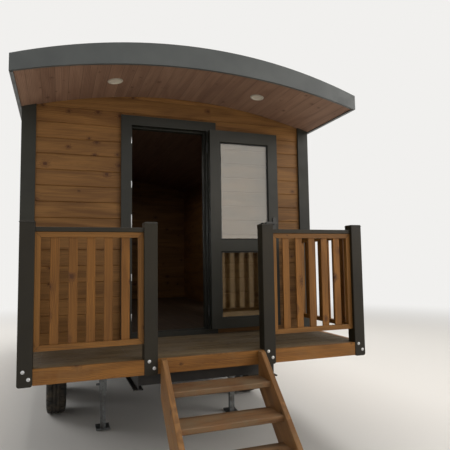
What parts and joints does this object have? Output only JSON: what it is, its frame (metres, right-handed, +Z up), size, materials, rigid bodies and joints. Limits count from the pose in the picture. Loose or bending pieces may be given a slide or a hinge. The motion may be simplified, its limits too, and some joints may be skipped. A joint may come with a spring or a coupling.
{
  "type": "vardo wagon",
  "caption": "Arched-roof timber living wagon on a tandem trailer, with a railed porch, open timber stairs and a glazed door that stands open.",
  "frame": {"origin": "on the ground under the middle of the overall length, from the foot of the stairs to the towing eye", "axes": "+Z up, +Y towards the towing eye, so the porch faces -Y; +X to the right of someone who faces the door from the stairs"},
  "size_m": [2.68, 7.625, 3.095],
  "materials": {
    "chassis_paint": "matt dark grey paint",
    "galvanised": "dull hot-dip zinc",
    "bright_steel": "satin",
    "dark_fittings": "satin dark powder coat",
    "rim_paint": "silver paint, road worn",
    "tyre": "matt",
    "solid_rubber": "matt",
    "underfloor": "sealed plywood",
    "deck_timber": "weathered",
    "rim_timber": "satin stain",
    "stair_timber": "worn satin stain",
    "anthracite_timber": "satin paint",
    "panel_timber": "satin stain",
    "cladding": "satin stain",
    "lining_timber": "satin stain",
    "roof_core": "sawn",
    "roof_membrane": "matt",
    "anthracite_metal": "satin powder coat",
    "anthracite_profile": "foil",
    "glass": "clear",
    "lamp": "opal"
  },
  "bodies": {
    "wagon": {"chassis_beams": "chassis_paint", "cross_members": "chassis_paint", "outriggers": "chassis_paint", "drawbar": "chassis_paint", "towing_eye": "galvanised", "axle_beams": "chassis_paint", "steady_brackets": "chassis_paint", "jockey_tube": "galvanised", "floor_platform": "underfloor", "rim_boards": "rim_timber", "deck_boards": "deck_timber", "posts": "anthracite_timber", "top_rails": "anthracite_timber", "railing_frames": "panel_timber", "railing_slats": "panel_timber", "front_wall": "cladding", "rear_wall": "cladding", "left_wall": "cladding", "right_wall": "cladding", "corner_boards": "anthracite_timber", "roof_shell": "roof_core", "roof_covering": "roof_membrane", "roof_lining": "lining_timber", "downlights": "lamp", "end_fascias": "anthracite_metal", "eave_fascias": "anthracite_metal", "door_frame": "anthracite_profile", "frame_fittings": "bright_steel", "window_frames": "anthracite_profile", "stringers": "stair_timber", "treads": "stair_timber"},
    "door": {"door_leaf": "anthracite_profile", "door_glass": "glass", "door_beads": "anthracite_profile", "door_handles": "dark_fittings", "leaf_hinges": "bright_steel"},
    "jockey_slider": {"jockey_stem": "galvanised"},
    "jockey_swivel": {"jockey_fork": "galvanised"},
    "jockey_roller": {"jockey_wheel": "solid_rubber"},
    "window_left": {"sash_left": "anthracite_profile", "pane_left": "glass"},
    "wheel_front_left": {"tyre_front_left": "tyre", "rim_front_left": "rim_paint"},
    "steady_front_left": {"steady_front_left": "galvanised"},
    "wheel_rear_left": {"tyre_rear_left": "tyre", "rim_rear_left": "rim_paint"},
    "steady_rear_left": {"steady_rear_left": "galvanised"},
    "window_right": {"sash_right": "anthracite_profile", "pane_right": "glass"},
    "wheel_front_right": {"tyre_front_right": "tyre", "rim_front_right": "rim_paint"},
    "steady_front_right": {"steady_front_right": "galvanised"},
    "wheel_rear_right": {"tyre_rear_right": "tyre", "rim_rear_right": "rim_paint"},
    "steady_rear_right": {"steady_rear_right": "galvanised"}
  },
  "joints": [
    {"name": "door_hinge", "type": "hinge", "parent": "wagon", "child": "door", "pos_m": [0.253, -1.9755, 1.741], "axis": [0, 0, -1], "range_deg": [0, 180]},
    {"name": "window_left_hinge", "type": "hinge", "parent": "wagon", "child": "window_left", "pos_m": [-1.19, -0.0375, 2.051], "axis": [0, 0, -1], "range_deg": [0, 90]},
    {"name": "wheel_front_left_spin", "type": "hinge", "parent": "wagon", "child": "wheel_front_left", "pos_m": [-1.0175, -0.8625, 0.32], "axis": [1, 0, 0], "continuous": true},
    {"name": "steady_front_left_fold", "type": "hinge", "parent": "wagon", "child": "steady_front_left", "pos_m": [-0.597, -1.5255, 0.59], "axis": [1, 0, 0], "range_deg": [0, 90]},
    {"name": "wheel_rear_left_spin", "type": "hinge", "parent": "wagon", "child": "wheel_rear_left", "pos_m": [-1.0175, -0.0625, 0.32], "axis": [1, 0, 0], "continuous": true},
    {"name": "steady_rear_left_fold", "type": "hinge", "parent": "wagon", "child": "steady_rear_left", "pos_m": [-0.597, 1.2255, 0.59], "axis": [-1, 0, 0], "range_deg": [0, 90]},
    {"name": "window_right_hinge", "type": "hinge", "parent": "wagon", "child": "window_right", "pos_m": [1.19, -0.0375, 2.051], "axis": [0, 0, 1], "range_deg": [0, 90]},
    {"name": "wheel_front_right_spin", "type": "hinge", "parent": "wagon", "child": "wheel_front_right", "pos_m": [1.0175, -0.8625, 0.32], "axis": [1, 0, 0], "continuous": true},
    {"name": "steady_front_right_fold", "type": "hinge", "parent": "wagon", "child": "steady_front_right", "pos_m": [0.597, -1.5255, 0.59], "axis": [1, 0, 0], "range_deg": [0, 90]},
    {"name": "wheel_rear_right_spin", "type": "hinge", "parent": "wagon", "child": "wheel_rear_right", "pos_m": [1.0175, -0.0625, 0.32], "axis": [1, 0, 0], "continuous": true},
    {"name": "steady_rear_right_fold", "type": "hinge", "parent": "wagon", "child": "steady_rear_right", "pos_m": [0.597, 1.2255, 0.59], "axis": [-1, 0, 0], "range_deg": [0, 90]},
    {"name": "jockey_lift", "type": "slide", "parent": "wagon", "child": "jockey_slider", "axis": [0, 0, 1], "range_m": [0, 0.2]},
    {"name": "jockey_turn", "type": "hinge", "parent": "jockey_slider", "child": "jockey_swivel", "pos_m": [0.20152, 3.4175, 0.26], "axis": [0, 0, 1], "continuous": true},
    {"name": "jockey_roll", "type": "hinge", "parent": "jockey_swivel", "child": "jockey_roller", "pos_m": [0.20152, 3.3725, 0.11], "axis": [1, 0, 0], "continuous": true}
  ]
}
